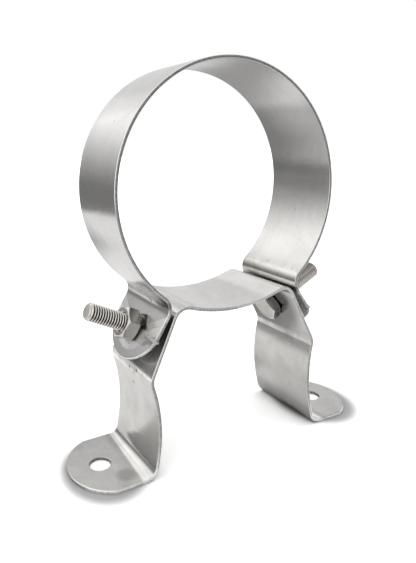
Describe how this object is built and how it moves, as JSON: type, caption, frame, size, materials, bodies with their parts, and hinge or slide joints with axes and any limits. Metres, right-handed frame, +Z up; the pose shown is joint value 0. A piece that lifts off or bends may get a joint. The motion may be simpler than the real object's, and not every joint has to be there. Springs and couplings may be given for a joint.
{
  "type": "conduit clamp",
  "caption": "Stand-off pipe clamp: a rolled strap band drawn down by bolts onto a folded strap bracket with drilled feet.",
  "frame": {"origin": "on the surface that the feet stand on, midway between the feet and between the strap's two edges", "axes": "+X from the left foot to the right foot, +Y along the pipe, towards the back of the picture, +Z up, from the feet to the pipe"},
  "size_m": [0.1492, 0.0407, 0.1755],
  "materials": {
    "strap": "mill finish stainless strap, satin, faintly mottled",
    "fastener": "plain cold-forged stainless, satin"
  },
  "bodies": {
    "clamp": {"base_bracket": "strap", "upper_band": "strap"},
    "left_bolt": {"left_bolt": "fastener"},
    "right_bolt": {"right_bolt": "fastener"},
    "left_nut": {"left_nut": "fastener"},
    "right_nut": {"right_nut": "fastener"}
  },
  "joints": [
    {"name": "left_bolt_turn", "type": "hinge", "parent": "clamp", "child": "left_bolt", "pos_m": [-0.03608, 0, 0.05745], "axis": [0.8991, 0, -0.4377], "range_deg": [0, 4320]},
    {"name": "left_nut_travel", "type": "slide", "parent": "clamp", "child": "left_nut", "axis": [-0.8991, 0, 0.4377], "range_m": [0, 0.015]},
    {"name": "right_bolt_turn", "type": "hinge", "parent": "clamp", "child": "right_bolt", "pos_m": [0.03608, 0, 0.05745], "axis": [-0.8991, 0, -0.4377], "range_deg": [0, 4320]},
    {"name": "right_nut_travel", "type": "slide", "parent": "clamp", "child": "right_nut", "axis": [0.8991, 0, 0.4377], "range_m": [0, 0.015]}
  ],
  "couplings": [
    {"joint": "left_nut_travel", "follows": "left_bolt_turn", "m_per_rad": 0.00019894},
    {"joint": "right_nut_travel", "follows": "right_bolt_turn", "m_per_rad": 0.00019894}
  ]
}
